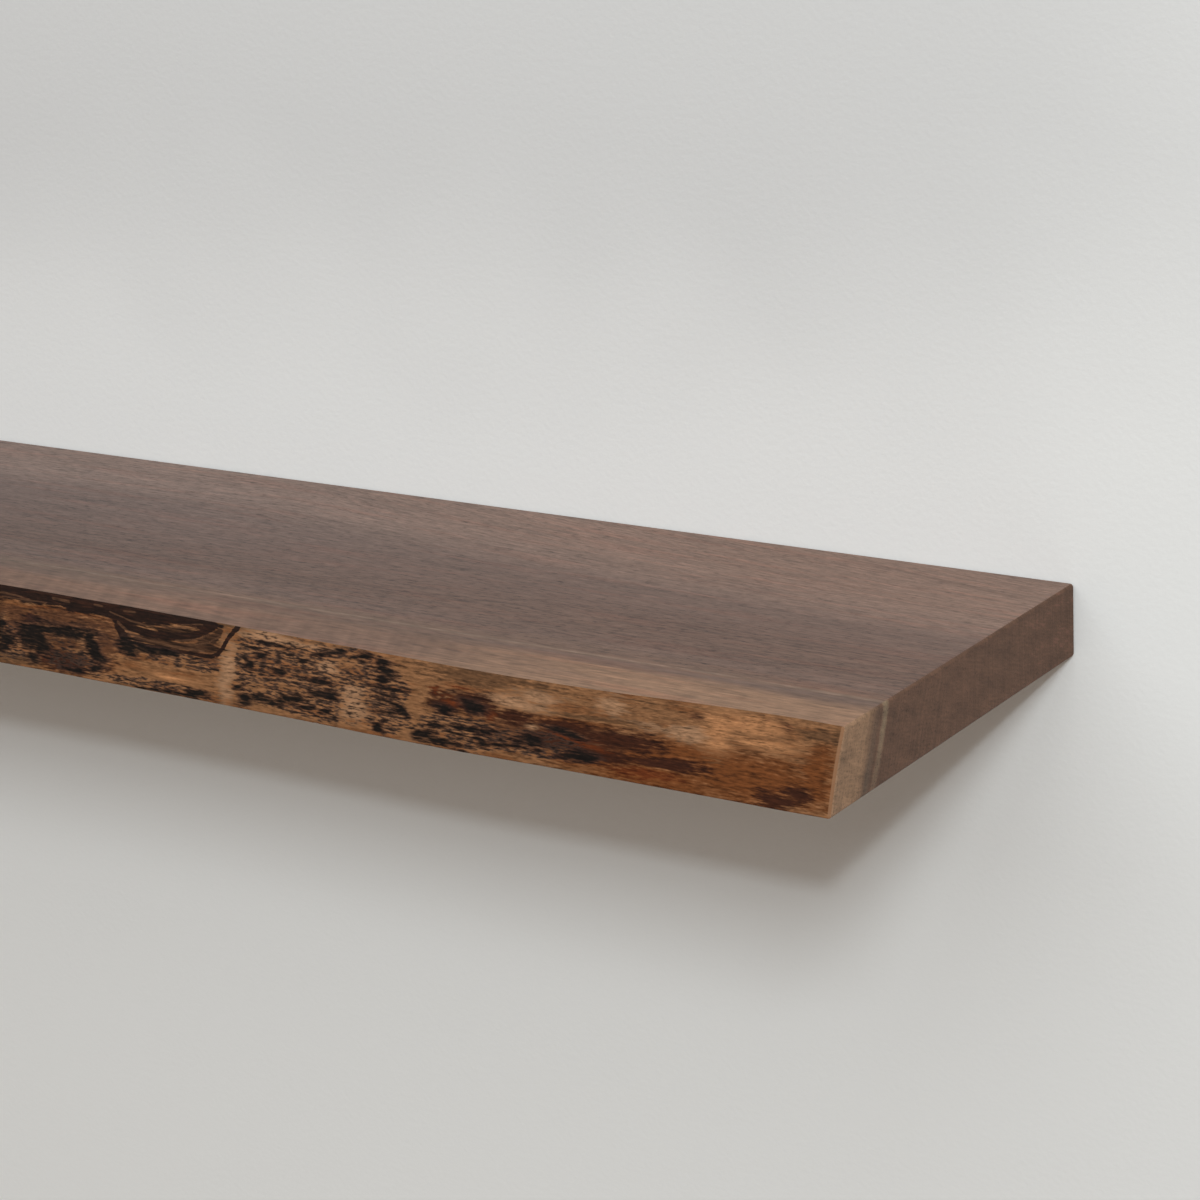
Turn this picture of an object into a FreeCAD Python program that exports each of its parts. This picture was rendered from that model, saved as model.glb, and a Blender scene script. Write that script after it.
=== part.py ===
"""Live-edge walnut wall shelf on a hidden steel bracket.

A thick slab with its natural edge to the front slides onto six steel rods. The rods are plug-welded into
a flat bar, which is screwed to three wall studs and hides in a pocket in the slab's back. Two set screws,
in brass inserts under the outer rods, lock the slab on.

Frame: millimetres. The wall is the plane y = 0 and the shelf stands out from it towards -Y. X runs along
the wall, Z is up, and the origin is the middle of the row of wall screws, at half the slab's thickness.
"""
import FreeCAD
import Part

import math
import os

Vector = FreeCAD.Vector

# ---- slab ----
slab_length = 1220.0
slab_depth = 254.0          # wall to the top corner of the live edge, before its waves
slab_thickness = 42.0
edge_undercut = 14.0        # how much further out the live edge stands at the bottom than at the top
edge_bulge = 1.2            # how far the live edge swells out halfway down
edge_levels = [-0.25, 0.0, 0.3, 0.6, 0.85, 1.0, 1.25]     # 0 is the slab's top, 1 its bottom
arris_radius = 2.0          # sanded corners round the sawn ends and along the back

# Waves of the live edge: (top corner, bottom corner), added to the depth at even steps from the left end.
edge_waves = [
    (-4.4, -4.8), (-3.4, -3.6), (-1.0, -1.0), (2.8, 3.0), (7.2, 7.2), (8.6, 8.4),
    (5.2, 5.2), (1.6, 1.8), (-0.4, 0.3), (-1.2, -0.2), (-0.4, 0.2), (1.8, 1.0),
    (3.6, 2.6), (6.6, 3.8), (6.0, 2.6), (0.5, 2.0), (-0.5, 1.5),
]

# ---- wall studs and screws ----
stud_pitch = 406.4          # 16 inches between studs, with one screw in each
screw_length = 76.0
screw_radius = 3.15         # over the thread, which starts at the plate's back
screw_neck_radius = 2.6     # the plain neck under the head
screw_head_radius = 6.2     # a 90 degree countersunk head
screw_point_length = 6.0
screw_recess_width = 4.0    # across the square recess for the driver
screw_recess_depth = 2.8
screw_hole_clearance = 0.3
screw_seat_clearance = 0.05 # between a head's cone and its countersink

# ---- bracket ----
plate_thickness = 6.35
plate_height = 30.0
plate_corner_radius = 6.0
plate_end = 25.0            # from the last rod's axis to the end of the plate
rod_radius = 6.35
rod_length = 178.0          # from the wall to the rod's tip
rod_tip_chamfer = 1.5
rod_hole_clearance = 0.05
weld_depth = 2.5            # how far the plug weld fills a rod's hole from the plate's back
weld_clearance = 0.05       # between the weld and the rod's end

# ---- pocket and bores in the slab's back ----
pocket_clearance = 0.5      # round the plate's edges
pocket_floor_clearance = 0.6
bore_clearance = 0.4        # round a rod
bore_end_clearance = 6.0    # beyond a rod's tip
slab_end_cover = 15.0       # least wood beyond each end of the plate

# ---- locking set screws and their inserts ----
lock_reach = 60.0           # from the wall to the set screws
lock_screw_radius = 2.95
lock_screw_recess = 3.0     # how deep below the slab's face the tightened screw sits
lock_tip_gap = 0.05         # between the tightened tip and the rod
lock_tip_chamfer = 0.6
lock_socket_width = 3.0     # across the flats of the hexagon socket
lock_socket_depth = 3.5
insert_radius = 4.75
insert_length = 9.0
insert_recess = 0.8
insert_slot_width = 1.4
insert_slot_depth = 1.6
insert_bore_clearance = 0.05

# ---- worked out from the sizes above ----
top_z = slab_thickness / 2
bottom_z = -slab_thickness / 2
rod_pitch = stud_pitch / 2  # a rod stands halfway between each stud and the middle of the next bay
pocket_depth = plate_thickness + pocket_floor_clearance
room_for_studs = slab_length - 2 * (slab_end_cover + plate_end) + rod_pitch
stud_count = max(1, int(room_for_studs // stud_pitch))
rod_count = 2 * stud_count
plate_length = (rod_count - 1) * rod_pitch + 2 * plate_end

into_wall = Vector(0, 1, 0)
out_of_wall = Vector(0, -1, 0)
up = Vector(0, 0, 1)
near = 0.01                 # how close an edge's place or direction must be to the one looked for


def evenly(count, pitch):
    """Places along X, pitch apart and centred on the origin."""
    return [(i - (count - 1) / 2) * pitch for i in range(count)]


stud_places = evenly(stud_count, stud_pitch)
rod_places = evenly(rod_count, rod_pitch)
lock_places = [rod_places[0], rod_places[-1]]


def box(low, high):
    """A block between two corners."""
    size = Vector(*high) - Vector(*low)
    return Part.makeBox(size.x, size.y, size.z, Vector(*low))


def turned(profile, start, axis):
    """A turned solid: profile is (distance along the axis, radius) from one end to the other."""
    points = [Vector(radius, 0, along) for along, radius in profile]
    wire = Part.makePolygon(points + [points[0]])
    solid = Part.Face(wire).revolve(Vector(), up, 360)
    solid = Part.Solid(solid) if solid.ShapeType != "Solid" else solid
    solid.Placement = FreeCAD.Placement(start, FreeCAD.Rotation(up, axis))
    return solid


def rounded_bar(length, height, radius, back_y, front_y):
    """A flat bar on the wall, centred on the origin, with its four corners rounded."""
    bar = box((-length / 2, front_y, -height / 2), (length / 2, back_y, height / 2))
    corners = [edge for edge in bar.Edges if abs(edge.tangentAt(edge.FirstParameter).y) > 1 - near]
    return bar.makeFillet(radius, corners)


def hexagon(width, depth, start, axis):
    """A hexagon socket, width across its flats."""
    spoke = Vector(width / math.sqrt(3), 0, 0)
    corners = [FreeCAD.Rotation(up, 60 * i).multVec(spoke) for i in range(6)]
    prism = Part.Face(Part.makePolygon(corners + [corners[0]])).extrude(up * depth)
    prism.Placement = FreeCAD.Placement(start, FreeCAD.Rotation(up, axis))
    return prism


def live_edge_surface():
    """The natural edge as one smooth surface, running past the slab's ends and its two faces."""
    last = len(edge_waves) - 1
    step = slab_length / last
    rows = []
    for i in range(-1, last + 2):
        top_wave, bottom_wave = edge_waves[min(max(i, 0), last)]
        row = []
        for level in edge_levels:
            reach = slab_depth + top_wave + (edge_undercut + bottom_wave - top_wave) * level
            reach += edge_bulge * 4 * level * (1 - level)
            row.append(Vector(-slab_length / 2 + i * step, -reach, top_z - slab_thickness * level))
        rows.append(row)
    surface = Part.BSplineSurface()
    surface.interpolate(rows)
    return surface.toShape()


def is_sanded_arris(edge):
    """True for the corners round the two sawn ends and along the back, and not along the live edge."""
    corners = [corner.Point for corner in edge.Vertexes]
    along_back = all(abs(corner.y) < near for corner in corners)
    round_an_end = all(abs(corner.x - corners[0].x) < near for corner in corners)
    return along_back or round_an_end


def live_edge_slab():
    """The board with its natural edge, the pocket and the bores for the bracket and the insert holes."""
    deepest = slab_depth + edge_undercut + max(max(pair) for pair in edge_waves) + 2 * edge_bulge
    blank = box((-slab_length / 2, -deepest, bottom_z), (slab_length / 2, 0, top_z))
    behind_edge = live_edge_surface().extrude(into_wall * (2 * deepest))
    slab = blank.common(behind_edge)
    slab = slab.makeFillet(arris_radius, [edge for edge in slab.Edges if is_sanded_arris(edge)])
    return slab.cut(Part.makeCompound([pocket()] + rod_bores() + insert_holes()))


def pocket():
    """The routed pocket that hides the plate."""
    return rounded_bar(plate_length + 2 * pocket_clearance, plate_height + 2 * pocket_clearance,
                       plate_corner_radius + pocket_clearance, 0, -pocket_depth)


def rod_bores():
    """Blind flat-bottomed bores for the rods."""
    radius = rod_radius + bore_clearance
    depth = rod_length + bore_end_clearance
    return [Part.makeCylinder(radius, depth, Vector(x, 0, 0), out_of_wall) for x in rod_places]


def insert_holes():
    """Stepped holes from the slab's underside up to the outer rod bores."""
    holes = []
    for x in lock_places:
        mouth = Vector(x, -lock_reach, bottom_z)
        seat = Part.makeCylinder(insert_radius, insert_recess + insert_length, mouth, up)
        passage = Part.makeCylinder(lock_screw_radius + insert_bore_clearance, -bottom_z, mouth, up)
        holes.append(seat.fuse(passage))
    return holes


def wall_plate():
    """The flat bar on the wall, with holes for the rods and countersunk holes for the screws."""
    plate = rounded_bar(plate_length, plate_height, plate_corner_radius, 0, -plate_thickness)
    rod_hole = rod_radius + rod_hole_clearance
    holes = [Part.makeCylinder(rod_hole, plate_thickness, Vector(x, 0, 0), out_of_wall)
             for x in rod_places]
    shank = screw_radius + screw_hole_clearance
    mouth = screw_head_radius + screw_seat_clearance
    sink = [(0, 0), (0, mouth), (mouth - shank, shank), (plate_thickness, shank), (plate_thickness, 0)]
    holes += [turned(sink, Vector(x, -plate_thickness, 0), into_wall) for x in stud_places]
    return plate.cut(Part.makeCompound(holes))


def support_rod(x):
    """A round bar from the plug weld in the plate to its bevelled tip."""
    start = weld_depth + weld_clearance
    profile = [(start, 0), (start, rod_radius), (rod_length - rod_tip_chamfer, rod_radius),
               (rod_length, rod_radius - rod_tip_chamfer), (rod_length, 0)]
    return turned(profile, Vector(x, 0, 0), out_of_wall)


def rod_weld(x):
    """The plug of weld metal behind a rod's end, ground flush with the plate's back."""
    return Part.makeCylinder(rod_radius, weld_depth, Vector(x, 0, 0), out_of_wall)


def wall_screw(x):
    """A countersunk wood screw with a square recess: head, neck, thread and point."""
    head_height = screw_head_radius - screw_neck_radius
    thread_end = screw_length - screw_point_length
    profile = [(0, 0), (0, screw_head_radius), (head_height, screw_neck_radius),
               (plate_thickness, screw_neck_radius), (plate_thickness, screw_radius),
               (thread_end, screw_radius), (screw_length, 0)]
    screw = turned(profile, Vector(x, -plate_thickness, 0), into_wall)
    half = screw_recess_width / 2
    recess_end = screw_recess_depth - plate_thickness
    return screw.cut(box((x - half, -plate_thickness, -half), (x + half, recess_end, half)))


def lock_insert(x):
    """A brass insert: a sleeve with a screwdriver slot across its outer end."""
    outer_end = bottom_z + insert_recess
    start = Vector(x, -lock_reach, outer_end)
    sleeve = Part.makeCylinder(insert_radius, insert_length, start, up)
    bore = Part.makeCylinder(lock_screw_radius + insert_bore_clearance, insert_length, start, up)
    slot = box((x - insert_radius, -lock_reach - insert_slot_width / 2, outer_end),
               (x + insert_radius, -lock_reach + insert_slot_width / 2, outer_end + insert_slot_depth))
    return sleeve.cut([bore, slot])


def lock_screw(x):
    """A set screw with a bevelled tip and a hexagon socket, tightened against the rod."""
    tip_z = -rod_radius - lock_tip_gap
    end_z = bottom_z + lock_screw_recess
    length = tip_z - end_z
    profile = [(0, 0), (0, lock_screw_radius), (length - lock_tip_chamfer, lock_screw_radius),
               (length, lock_screw_radius - lock_tip_chamfer), (length, 0)]
    start = Vector(x, -lock_reach, end_z)
    return turned(profile, start, up).cut(hexagon(lock_socket_width, lock_socket_depth, start, up))


def all_pieces():
    """Every piece by its name."""
    pieces = {"live_edge_slab": live_edge_slab(), "wall_plate": wall_plate()}
    for i, x in enumerate(rod_places, 1):
        pieces[f"support_rod_{i}"] = support_rod(x)
        pieces[f"rod_weld_{i}"] = rod_weld(x)
    for i, x in enumerate(stud_places, 1):
        pieces[f"wall_screw_{i}"] = wall_screw(x)
    for i, x in enumerate(lock_places, 1):
        pieces[f"lock_insert_{i}"] = lock_insert(x)
        pieces[f"lock_screw_{i}"] = lock_screw(x)
    return pieces


os.makedirs("parts", exist_ok=True)
for name, shape in all_pieces().items():
    shape.exportStep(f"parts/{name}.step")
    print(f"{name}: {len(shape.Solids)} solid, valid {shape.isValid()}, {shape.Volume / 1000:.2f} cm3")
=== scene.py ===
"""Looks of the live-edge walnut wall shelf and its hidden steel bracket.

Metres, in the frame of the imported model: the wall is the plane y = 0, the shelf stands out from it towards
-Y, X runs along the wall and Z is up. Patterns are written in millimetres on object coordinates.
"""
import math

import bmesh
import bpy
import numpy as np
from bpy.props import FloatProperty, FloatVectorProperty, IntProperty, PointerProperty
from mathutils import Matrix, Vector, noise
from mathutils.bvhtree import BVHTree


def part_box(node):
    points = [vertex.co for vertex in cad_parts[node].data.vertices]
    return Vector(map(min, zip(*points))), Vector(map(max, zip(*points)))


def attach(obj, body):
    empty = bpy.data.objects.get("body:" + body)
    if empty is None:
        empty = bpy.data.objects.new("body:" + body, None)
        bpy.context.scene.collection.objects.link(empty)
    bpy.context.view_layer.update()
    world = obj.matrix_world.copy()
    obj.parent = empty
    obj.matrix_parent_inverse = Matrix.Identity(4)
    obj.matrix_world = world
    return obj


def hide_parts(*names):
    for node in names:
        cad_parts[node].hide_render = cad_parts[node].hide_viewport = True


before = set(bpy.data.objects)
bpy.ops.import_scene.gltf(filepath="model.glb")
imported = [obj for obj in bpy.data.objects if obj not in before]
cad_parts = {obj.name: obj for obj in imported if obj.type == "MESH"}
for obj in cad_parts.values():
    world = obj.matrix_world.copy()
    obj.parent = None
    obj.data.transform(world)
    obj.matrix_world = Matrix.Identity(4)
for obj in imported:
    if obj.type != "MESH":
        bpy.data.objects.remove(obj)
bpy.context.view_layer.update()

bl_info = {
    "name": "Live-edge wall shelf",
    "version": (1, 0, 0),
    "blender": (4, 5, 0),
    "location": "3D View > Sidebar > Shelf",
    "description": "Builds the slab, its bracket, the fasteners and the stage round the packed shelf",
    "category": "Add Mesh",
}

SLAB_LOW, SLAB_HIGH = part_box("live_edge_slab")
MM = 0.001


# ---------------------------------------------------------------- sizes and colours a user would change

def colour(name, description, value):
    """A colour property."""
    return FloatVectorProperty(name=name, description=description, subtype="COLOR", size=3, min=0, max=1,
                               default=value)


def number(name, description, value, **kind):
    """A number property, whose kind is its unit or subtype."""
    return FloatProperty(name=name, description=description, default=value, **kind)


def length(name, description, value):
    """A length property, in metres."""
    return number(name, description, value, unit="LENGTH", precision=5)


def angle(name, description, degrees):
    """An angle property, given here in degrees."""
    return number(name, description, math.radians(degrees), subtype="ANGLE")


class ShelfWood(bpy.types.PropertyGroup):
    """Sizes of the slab's detail and the colours of its wood."""
    arris: length("Arris", "Sanded corners round the sawn ends and along the back", 2 * MM)
    edge_arris: length("Live edge arris", "How far the live edge's long corners are eased", 0.4 * MM)
    column: length("Column", "Width of the live edge's mesh columns", 1.4 * MM)
    rows: IntProperty(name="Rows", description="Mesh rows down the live edge", default=72, min=8)
    swell: length("Swell", "Depth of the live edge's slow hollows and swellings", 0.45 * MM)
    flute: length("Flute", "Depth of the shallow upright flutes in the live edge", 0.22 * MM)
    fibre: length("Fibre", "Height of the fibres that stand on the live edge", 0.1 * MM)
    pocket_gap: length("Pocket gap", "Between the plate's edges and its pocket", 0.5 * MM)
    floor_gap: length("Floor gap", "Between the plate and the pocket's floor", 0.6 * MM)
    pocket_corner: length("Pocket corner", "Radius of the pocket's corners", 6.5 * MM)
    bore_gap: length("Bore gap", "Between a rod and its bore", 0.4 * MM)
    bore_end: length("Bore end", "How far a bore goes on past the rod's tip", 6 * MM)
    insert_gap: length("Insert gap", "Between a brass insert and its hole", 0.05 * MM)
    passage_top: length("Passage top", "Where the set screws' holes end, inside the bores", -3 * MM)
    sapwood: colour("Sapwood", "The band in front of the heartwood, at the left", (0.158, 0.091, 0.062))
    sapwood_tan: colour("Tan sapwood", "The same band towards the right end", (0.24, 0.138, 0.083))
    end_heart: colour("End heartwood", "Sawn end grain", (0.105, 0.054, 0.0325))
    end_sap: colour("End sapwood", "Sawn end grain of the sapwood", (0.24, 0.142, 0.081))
    tan: colour("Tan", "The live edge's clean wood", (0.19, 0.089, 0.039))
    pale: colour("Pale", "Its palest wood", (0.266, 0.144, 0.076))
    honey: colour("Honey", "Its brightest, most golden wood", (0.335, 0.153, 0.065))
    amber: colour("Amber", "Its warm brown wood", (0.118, 0.038, 0.011))
    brown: colour("Brown", "Its duller brown wood", (0.084, 0.034, 0.0155))
    olive: colour("Olive", "Its greenish brown wood", (0.1, 0.048, 0.022))
    rot: colour("Rot", "Its red-brown stains", (0.034, 0.0105, 0.005))
    rust: colour("Rust", "The reddest parts of those stains", (0.1, 0.023, 0.0065))
    heart_dark: colour("Dark heartwood", "The dark figure at its left", (0.013, 0.0058, 0.0038))
    soot: colour("Soot", "Its blue-black stains", (0.0072, 0.0052, 0.0042))
    stained: colour("Stained", "The wood round those stains", (0.03, 0.0145, 0.0105))
    mould: colour("Mould", "Its grey-purple mottling", (0.05, 0.029, 0.021))


class ShelfMetal(bpy.types.PropertyGroup):
    """Sizes and colours of the bracket and the fasteners."""
    wood_radius: length("Wood screw", "Radius over the wall screws' thread", 3.15 * MM)
    wood_pitch: length("Wood screw pitch", "Pitch of the wall screws' thread", 2.3 * MM)
    wood_depth: length("Wood screw thread", "Depth of the wall screws' thread", 0.75 * MM)
    recess_width: length("Recess", "Across the wall screws' square recess", 4 * MM)
    recess_depth: length("Recess depth", "Depth of that recess", 2.8 * MM)
    neck_radius: length("Neck", "Radius of the wall screws' plain neck", 2.6 * MM)
    point: length("Point", "Length of the wall screws' point", 6 * MM)
    set_pitch: length("Set screw pitch", "Pitch of the set screws' thread", 1 * MM)
    set_depth: length("Set screw thread", "Depth of the set screws' thread", 0.4 * MM)
    set_chamfer: length("Tip chamfer", "Bevel at the set screws' tips", 0.6 * MM)
    socket_width: length("Socket", "Across the flats of the set screws' sockets", 3 * MM)
    socket_depth: length("Socket depth", "Depth of those sockets", 3.5 * MM)
    insert_bore: length("Insert bore", "Radius of the inserts' bore", 3 * MM)
    insert_pitch: length("Insert pitch", "Pitch of the inserts' outer thread", 2 * MM)
    insert_depth: length("Insert thread", "Depth of the inserts' outer thread", 0.7 * MM)
    slot_width: length("Slot", "Width of the inserts' screwdriver slot", 1.4 * MM)
    slot_depth: length("Slot depth", "Depth of that slot", 1.6 * MM)
    rod_chamfer: length("Rod chamfer", "Bevel at the rods' tips", 1.5 * MM)
    mill_scale: colour("Mill scale", "The hot-rolled plate", (0.075, 0.08, 0.09))
    bright: colour("Bright steel", "The rods", (0.5, 0.5, 0.51))
    weld: colour("Weld", "The ground plug welds", (0.42, 0.41, 0.4))
    zinc: colour("Zinc", "The wall screws' yellow zinc", (0.66, 0.56, 0.33))
    brass: colour("Brass", "The inserts", (0.72, 0.5, 0.2))
    oxide: colour("Black oxide", "The set screws", (0.03, 0.03, 0.034))


class ShelfStage(bpy.types.PropertyGroup):
    """The wall, the floor, the light and the camera."""
    wall: colour("Wall", "The painted wall", (0.761, 0.766, 0.745))
    # painted shade: a darker wall colour high up and away from the right, standing in for less light falling
    # there
    wall_painted_shade: colour("High wall", "The wall's duller paint higher up", (0.63, 0.632, 0.618))
    wall_texture: length("Wall texture", "Depth of the paint's roller texture", 0.065 * MM)
    floor: colour("Floor", "The pale floor", (0.6, 0.58, 0.54))
    wall_gap: length("Wall gap", "Between the shelf's back and the wall shown", 0.5 * MM)
    wall_middle: length("Wall middle", "Height of the wall's middle over the shelf's", 4.6)
    floor_drop: length("Floor drop", "From the shelf down to the floor", 3.2)
    lamp_azimuth: angle("Lamp azimuth", "Of the main lamp, from the front towards +X", 31.7)
    lamp_height: angle("Lamp elevation", "Of the main lamp", 34.1)
    lamp_power: number("Lamp power", "Of the main lamp", 170.0, unit="POWER")
    small_power: number("Small lamp power", "Of the lamp that draws the shadow's edge", 71.0, unit="POWER")
    broad_power: number("Broad lamp power", "Of the large soft lamp", 83.0, unit="POWER")
    back_power: number("Back lamp power", "Of the lamp behind the wall", 35.0, unit="POWER")
    lamp_shade: colour("Lamp colour", "Daylight, a little cool", (0.885, 0.95, 1.0))
    back_shade: colour("Back lamp colour", "Plain white", (1.0, 1.0, 1.0))
    sky_shade: colour("Sky colour", "Warm light thrown back by the room", (1.0, 0.8, 0.67))
    sky: number("Sky", "Strength of the even light from all round", 0.305)
    backdrop_shade: colour("Backdrop colour", "The world as it is seen", (1.0, 0.99, 0.97))
    backdrop: number("Backdrop", "Strength of the world as it is seen", 0.8)
    focal: number("Focal length", "Of the camera", 93.72, unit="CAMERA")
    sensor: number("Sensor", "Width of the camera's sensor", 36.0, unit="CAMERA")
    camera_place: FloatVectorProperty(name="Camera place", description="Where the camera stands", size=3,
                                      subtype="TRANSLATION", default=(1.3246, -1.4829, 0.5399))
    camera_turn: angle("Camera turn", "From straight in front towards +X", 34.79)
    camera_dip: angle("Camera dip", "How far the camera looks down", 17.52)
    camera_roll: angle("Camera roll", "About its line of sight", -3.25)


# ---------------------------------------------------------------- shader maths

class Field:
    """A shader socket that takes part in Python sums: each operator adds its Math node."""

    def __init__(self, nodes, socket):
        self.nodes = nodes
        self.socket = socket

    def __add__(self, other):
        return self.nodes.math("ADD", self, other)

    def __sub__(self, other):
        return self.nodes.math("SUBTRACT", self, other)

    def __rsub__(self, other):
        return self.nodes.math("SUBTRACT", other, self)

    def __mul__(self, other):
        return self.nodes.math("MULTIPLY", self, other)

    def __truediv__(self, other):
        return self.nodes.math("DIVIDE", self, other)

    __radd__ = __add__
    __rmul__ = __mul__


class Nodes:
    """The nodes of a world or a material."""

    def __init__(self, owner):
        owner.use_nodes = True
        self.tree = owner.node_tree
        self.tree.nodes.clear()

    def node(self, kind, settings=None, inputs=None, output=0):
        """Adds a node of this kind, with its settings and then its sockets' values or links."""
        made = self.tree.nodes.new("ShaderNode" + kind)
        for name, value in (settings or {}).items():
            if name == "stops":
                self.set_stops(made.color_ramp, value)
            else:
                setattr(made, name, value)
        for name, value in (inputs or {}).items():
            if isinstance(value, Field):
                self.tree.links.new(value.socket, made.inputs[name])
            else:
                made.inputs[name].default_value = value
        return Field(self, made.outputs[output]) if made.outputs else None

    @staticmethod
    def set_stops(ramp, stops):
        """Gives a colour ramp its (position, colour) stops."""
        while len(ramp.elements) < len(stops):
            ramp.elements.new(0.5)
        for element, (position, shade) in zip(ramp.elements, stops):
            element.position = position
            element.color = (*shade, 1)

    def math(self, operation, *values):
        """One Math node."""
        return self.node("Math", {"operation": operation}, dict(enumerate(values)))

    def mix(self, share, first, second):
        """Two colours mixed."""
        shades = [s if isinstance(s, Field) else (*s, 1) for s in (first, second)]
        return self.node("Mix", {"data_type": "RGBA"}, {0: share, 6: shades[0], 7: shades[1]}, output=2)


class Finish(Nodes):
    """A material in the making. Its coordinates are object coordinates in millimetres."""

    def __init__(self, name):
        self.material = bpy.data.materials.new(name)
        super().__init__(self.material)
        self.place = self.vector("SCALE", self.node("TexCoord", output="Object"), scale=1 / MM)
        self.x, self.y, self.z = (self.node("SeparateXYZ", inputs={0: self.place}, output=a) for a in "XYZ")

    def vector(self, operation, *values, scale=None):
        """One Vector Math node."""
        inputs = dict(enumerate(values))
        if scale is not None:
            inputs["Scale"] = scale
        return self.node("VectorMath", {"operation": operation}, inputs)

    def at(self, x, y, z=0.0):
        """A vector from three numbers or fields."""
        return self.node("CombineXYZ", inputs={"X": x, "Y": y, "Z": z})

    def toned(self, shade, tone):
        """A colour made lighter or darker by a field, or tinted by three numbers."""
        if isinstance(tone, Field):
            tone = self.at(tone, tone, tone)
        return self.vector("MULTIPLY", shade, tone)

    def ramp(self, value, low, high):
        """0 to 1 with soft shoulders as value goes from low to high, which may run downwards."""
        return self.node("MapRange", {"interpolation_type": "SMOOTHSTEP"},
                         {"Value": value, "From Min": low, "From Max": high})

    def grain(self, size, at=None, detail=3.0, rough=0.5, offset=0.0):
        """Noise from 0 to 1 whose spots have this size (x, y, z) in millimetres."""
        spots = self.vector("DIVIDE", at or self.place, size)
        moved = self.vector("ADD", spots, (offset, offset, offset)) if offset else spots
        plain_noise = self.node("TexNoise", inputs={"Vector": moved, "Scale": 1.0, "Detail": detail,
                                                    "Roughness": rough})
        return self.node("MapRange", inputs={"Value": plain_noise, "From Min": 0.3, "From Max": 0.7})

    def stain(self, name):
        """How near a stain's nearest mark is, as written on the mesh: 0 in its middle, 1 on its outline."""
        return self.node("Attribute", {"attribute_name": name}, output="Fac")

    def surface(self, shade, roughness, bump, bump_depth, **fixed):
        """The shader: a colour and a roughness that may vary, a relief in millimetres, and fixed sockets."""
        inputs = {"Base Color": shade, "Roughness": roughness, "Normal": self.relief(bump, bump_depth)}
        inputs.update({name.replace("_", " "): value for name, value in fixed.items()})
        self.finished(self.node("BsdfPrincipled", inputs=inputs))

    def relief(self, bump, bump_depth):
        """The normal of a surface with this relief, in millimetres."""
        return self.node("Bump", inputs={"Height": bump, "Distance": bump_depth * MM, "Strength": 1.0})

    def finished(self, shader):
        """Links the shader to the material's output."""
        self.node("OutputMaterial", inputs={"Surface": shader})


# ---------------------------------------------------------------- the walnut

HALF_THICK = (SLAB_HIGH.z - SLAB_LOW.z) / 2 / MM
RING_LEAN = 0.4             # how far the growth rings lean outwards, per millimetre down
RING_SPREAD = 0.0015        # how quickly the rings fan out towards the back of the right end
SAP_LINE = -213.0           # where the heartwood ends, on the slab's top
HEART_DEPTH = 260.0         # over how much of the top the heartwood's colours run, back from its front
# Dark growth rings that cross the top: x, y, fall per millimetre, half width, length, share.
RING_LINES = [(470, -9, 0.22, 2.4, 230, 0.55), (205, -58, 0.27, 5.0, 190, 0.3),
              (380, -72, 0.16, 3.0, 200, 0.2)]
# The heartwood's colours from its front, at 0, to the wall, at 1.
HEART = [(0.0, (0.131, 0.084, 0.063)), (0.12, (0.126, 0.081, 0.062)), (0.175, (0.141, 0.091, 0.067)),
         (0.24, (0.131, 0.087, 0.071)), (0.34, (0.116, 0.075, 0.06)), (0.5, (0.131, 0.087, 0.072)),
         (0.68, (0.138, 0.095, 0.08)), (0.8, (0.185, 0.128, 0.105)), (1.0, (0.193, 0.13, 0.104))]
WARM, DARK, ROSY = (1.06, 0.98, 0.91), (0.6, 0.57, 0.55), (1.14, 0.97, 0.93)       # tints
PALE_LINE, DARK_LINE = (0.308, 0.235, 0.175), (0.109, 0.077, 0.069)                # beside the sapwood
END_PALE_LINE, END_DARK_LINE, END_RED = (0.257, 0.185, 0.114), (0.09, 0.058, 0.038), (0.19, 0.081, 0.059)


def growth(f):
    """Distance across the growth rings, equal to y on the slab's top at its left half."""
    lean = (HALF_THICK - f.z) * RING_LEAN * f.ramp(f.y, 60.0, -230.0)
    right = f.math("MAXIMUM", f.x - 100.0, 0.0)
    behind = f.math("MAXIMUM", f.y + 150.0, 0.0)
    waver = (f.grain((420, 90, 60), detail=1.0) - 0.5) * 7.0
    settled = f.ramp(f.y, SAP_LINE - 8, SAP_LINE + 60)
    return f.y + lean + right * behind * RING_SPREAD + waver * settled


def streaks(f, ring, long, wide, detail=3.0, rough=0.55, offset=0.0):
    """Noise drawn out along the grain, between growth rings, with spots of this size in millimetres."""
    return f.grain((long, wide, wide), f.at(f.x, ring, f.z - HALF_THICK), detail, rough, offset)


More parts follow.
